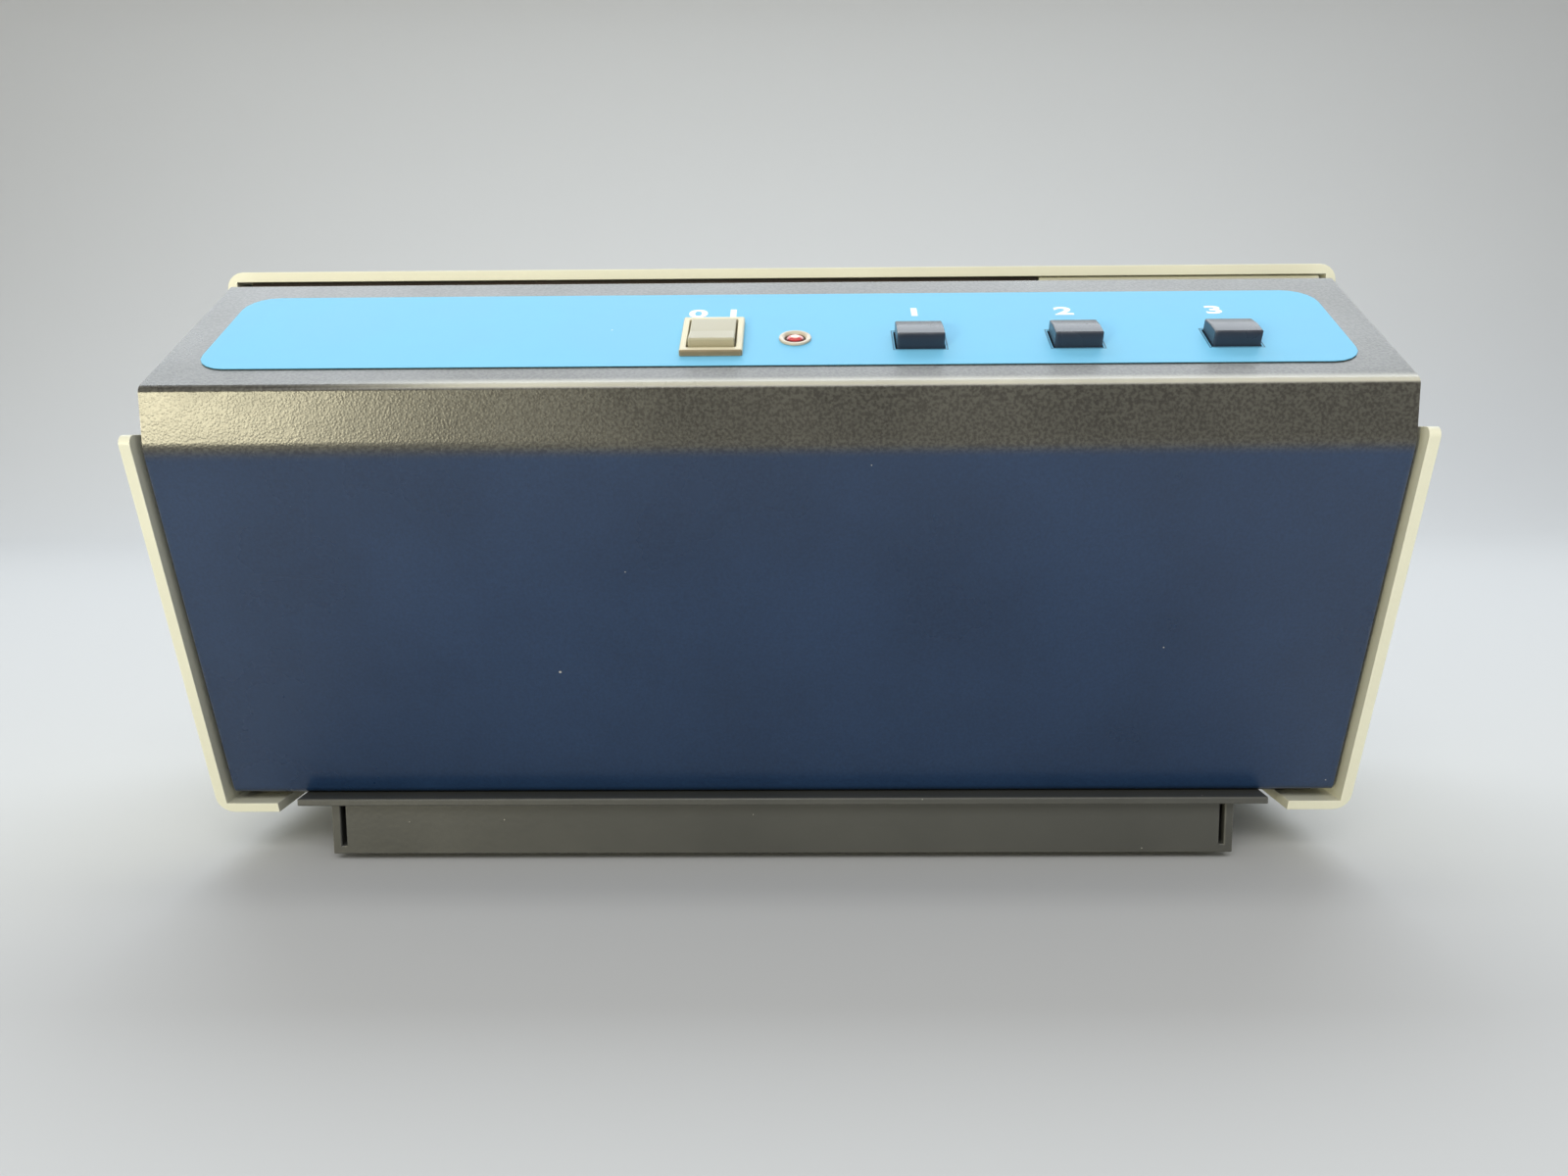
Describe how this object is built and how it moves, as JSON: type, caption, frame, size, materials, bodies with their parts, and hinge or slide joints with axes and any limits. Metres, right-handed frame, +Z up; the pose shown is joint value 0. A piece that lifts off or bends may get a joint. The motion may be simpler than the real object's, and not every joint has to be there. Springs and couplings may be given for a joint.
{
  "type": "fluorophotometer",
  "caption": "Desktop fluorophotometer: a dark folded cover with a sloped control panel, set in a pale open shell on a low sheet-metal pedestal.",
  "frame": {"origin": "on the floor under the middle of the object's bounding box", "axes": "+X to the viewer's right, +Y from the controls to the rear, +Z up"},
  "size_m": [0.314, 0.1906, 0.1643],
  "materials": {
    "rubber": "matte",
    "dark_steel": "satin dark grey paint",
    "cream_shell": "satin cream paint",
    "dark_paint": "fine wrinkle paint",
    "blue_overlay": "satin light-blue film",
    "foam": "matte foam",
    "beige_plastic": "satin",
    "pale_plastic": "gloss",
    "red_lens": "clear red lens",
    "button_plastic": "satin",
    "black_plastic": "satin",
    "steel": "plated",
    "laminate": "green board laminate",
    "ribbon": "flat cable sheath",
    "core_steel": "stacked laminations",
    "coil": "wound wire under tape",
    "black_alloy": "black anodised",
    "grey_alloy": "plain",
    "green_glass": "coloured filter glass",
    "blue_glass": "coloured filter glass",
    "clear_glass": "clear",
    "brass": "plain"
  },
  "bodies": {
    "chassis": {"foot_front_left": "rubber", "foot_front_right": "rubber", "foot_rear_left": "rubber", "foot_rear_right": "rubber", "pedestal_tray": "dark_steel", "base_plate": "dark_steel", "rear_shell": "cream_shell", "front_cover": "dark_paint", "panel_label": "blue_overlay", "gap_seal": "foam", "switch_housing": "beige_plastic", "led_bezel": "pale_plastic", "led_lamp": "red_lens", "button_switch_1": "black_plastic", "button_switch_2": "black_plastic", "button_switch_3": "black_plastic", "return_spring_1": "steel", "return_spring_2": "steel", "return_spring_3": "steel", "control_board": "laminate", "control_board_screw_1": "steel", "control_board_screw_2": "steel", "control_board_screw_3": "steel", "control_board_screw_4": "steel", "main_board": "laminate", "board_post_1": "steel", "board_post_2": "steel", "board_post_3": "steel", "board_post_4": "steel", "ribbon_cable": "ribbon", "transformer_core": "core_steel", "transformer_coil": "coil", "transformer_screw_left": "steel", "transformer_screw_right": "steel", "optics_block": "black_alloy", "emission_filter": "green_glass", "excitation_filter": "blue_glass", "condenser_lens": "clear_glass", "detector": "grey_alloy", "lamp_holder": "grey_alloy", "lamp_bulb": "clear_glass", "fibre_port": "brass", "power_inlet": "black_plastic", "fuse_holder": "black_plastic", "fuse": "clear_glass", "data_socket": "steel", "base_screw_1": "steel", "base_screw_2": "steel", "base_screw_3": "steel", "base_screw_4": "steel", "cover_screw_left": "steel", "cover_screw_right": "steel", "tray_screw_left": "steel", "tray_screw_right": "steel"},
    "rocker": {"power_rocker": "beige_plastic"},
    "button_1": {"button_cap_1": "button_plastic"},
    "button_2": {"button_cap_2": "button_plastic"},
    "button_3": {"button_cap_3": "button_plastic"},
    "fuse_knob": {"fuse_cap": "black_plastic"}
  },
  "joints": [
    {"name": "rocker_tilt", "type": "hinge", "parent": "chassis", "child": "rocker", "pos_m": [-0.01605, -0.07058, 0.13995], "axis": [1, 0, 0], "range_deg": [0, 10]},
    {"name": "button_1_press", "type": "slide", "parent": "chassis", "child": "button_1", "axis": [0, 0.471, -0.8821], "range_m": [0, 0.002], "stiffness_N_per_m": 300, "springref_m": -0.0015, "deforming": ["return_spring_1"]},
    {"name": "button_2_press", "type": "slide", "parent": "chassis", "child": "button_2", "axis": [0, 0.471, -0.8821], "range_m": [0, 0.002], "stiffness_N_per_m": 300, "springref_m": -0.0015, "deforming": ["return_spring_2"]},
    {"name": "button_3_press", "type": "slide", "parent": "chassis", "child": "button_3", "axis": [0, 0.471, -0.8821], "range_m": [0, 0.002], "stiffness_N_per_m": 300, "springref_m": -0.0015, "deforming": ["return_spring_3"]},
    {"name": "fuse_cap_turn", "type": "hinge", "parent": "chassis", "child": "fuse_knob", "pos_m": [0.072, 0.08371, 0.048], "axis": [0, 1, 0], "range_deg": [0, 90]}
  ]
}
